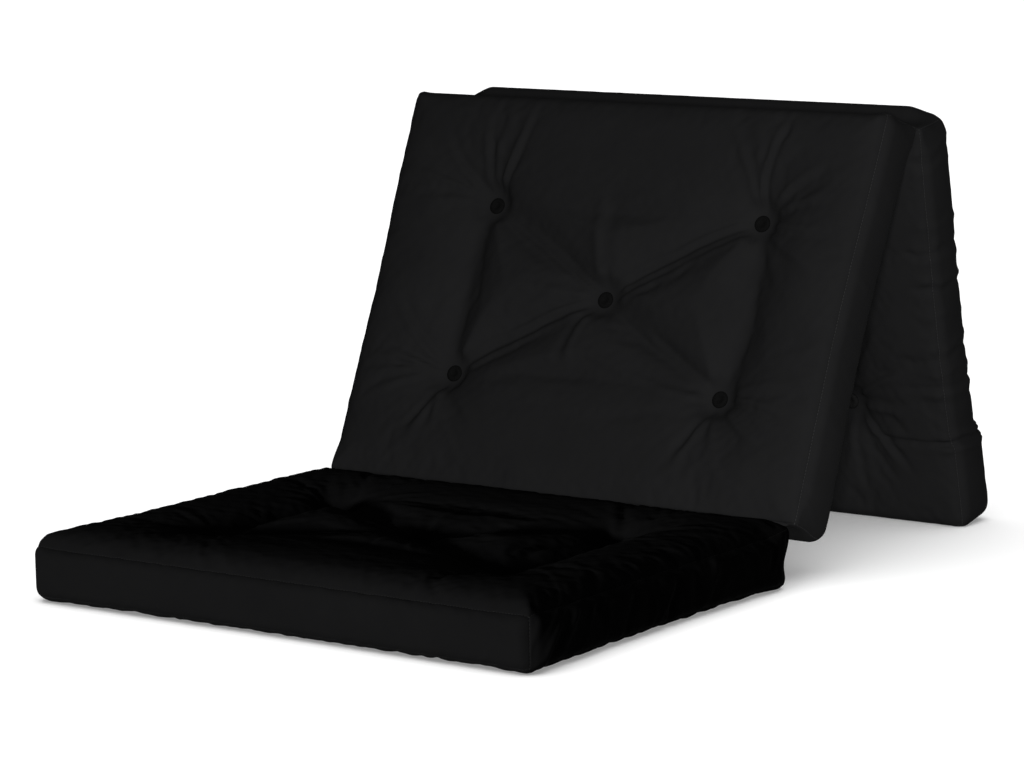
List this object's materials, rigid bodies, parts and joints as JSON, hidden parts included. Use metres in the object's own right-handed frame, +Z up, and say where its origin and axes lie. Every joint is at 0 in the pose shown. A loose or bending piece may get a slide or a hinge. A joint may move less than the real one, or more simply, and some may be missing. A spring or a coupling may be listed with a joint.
{
  "type": "folding futon mattress",
  "caption": "Black cotton futon mattress in tufted box-edged sections joined by sewn folds, standing as a low floor chair with a reclined back and a rear prop.",
  "frame": {"origin": "on the floor, under the middle of the whole chair's box", "axes": "+Z up, +Y from the seat towards the back and the prop, +X to the right of the person sitting on it"},
  "size_m": [0.9, 1.2636, 0.6885],
  "materials": {
    "black_cotton": "matte",
    "white_batting": "matte",
    "cream_foam": "matte",
    "black_felt": "matte",
    "black_twine": "matte"
  },
  "bodies": {
    "seat": {"seat_face_cover": "black_cotton", "seat_under_cover": "black_cotton", "seat_left_boxing": "black_cotton", "seat_right_boxing": "black_cotton", "seat_front_boxing": "black_cotton", "seat_rear_boxing": "black_cotton", "seat_face_batting": "white_batting", "seat_under_batting": "white_batting", "seat_foam_core": "cream_foam", "seat_tuft_button_1": "black_felt", "seat_tuft_button_2": "black_felt", "seat_tuft_button_3": "black_felt", "seat_tuft_button_4": "black_felt", "seat_tuft_button_5": "black_felt", "seat_tuft_tie_1": "black_twine", "seat_tuft_tie_2": "black_twine", "seat_tuft_tie_3": "black_twine", "seat_tuft_tie_4": "black_twine", "seat_tuft_tie_5": "black_twine"},
    "back": {"back_face_cover": "black_cotton", "back_under_cover": "black_cotton", "back_left_boxing": "black_cotton", "back_right_boxing": "black_cotton", "back_bottom_boxing": "black_cotton", "back_top_boxing": "black_cotton", "back_face_batting": "white_batting", "back_under_batting": "white_batting", "back_foam_core": "cream_foam", "back_tuft_button_1": "black_felt", "back_tuft_button_2": "black_felt", "back_tuft_button_3": "black_felt", "back_tuft_button_4": "black_felt", "back_tuft_button_5": "black_felt", "back_tuft_tie_1": "black_twine", "back_tuft_tie_2": "black_twine", "back_tuft_tie_3": "black_twine", "back_tuft_tie_4": "black_twine", "back_tuft_tie_5": "black_twine", "front_fold_seam": "black_cotton"},
    "prop": {"prop_face_cover": "black_cotton", "prop_under_cover": "black_cotton", "prop_left_boxing": "black_cotton", "prop_right_boxing": "black_cotton", "prop_top_boxing": "black_cotton", "prop_foot_boxing": "black_cotton", "prop_face_batting": "white_batting", "prop_under_batting": "white_batting", "prop_foam_core": "cream_foam", "prop_tuft_button_1": "black_felt", "prop_tuft_button_2": "black_felt", "prop_tuft_button_3": "black_felt", "prop_tuft_button_4": "black_felt", "prop_tuft_button_5": "black_felt", "prop_tuft_tie_1": "black_twine", "prop_tuft_tie_2": "black_twine", "prop_tuft_tie_3": "black_twine", "prop_tuft_tie_4": "black_twine", "prop_tuft_tie_5": "black_twine", "rear_fold_seam": "black_cotton"}
  },
  "joints": [
    {"name": "back_fold", "type": "hinge", "parent": "seat", "child": "back", "pos_m": [0, 0.03336, 0.0935], "axis": [1, 0, 0], "range_deg": [-64, 116]},
    {"name": "prop_fold", "type": "hinge", "parent": "back", "child": "prop", "pos_m": [0, 0.41101, 0.65108], "axis": [1, 0, 0], "range_deg": [-37.28, 142.72]}
  ]
}
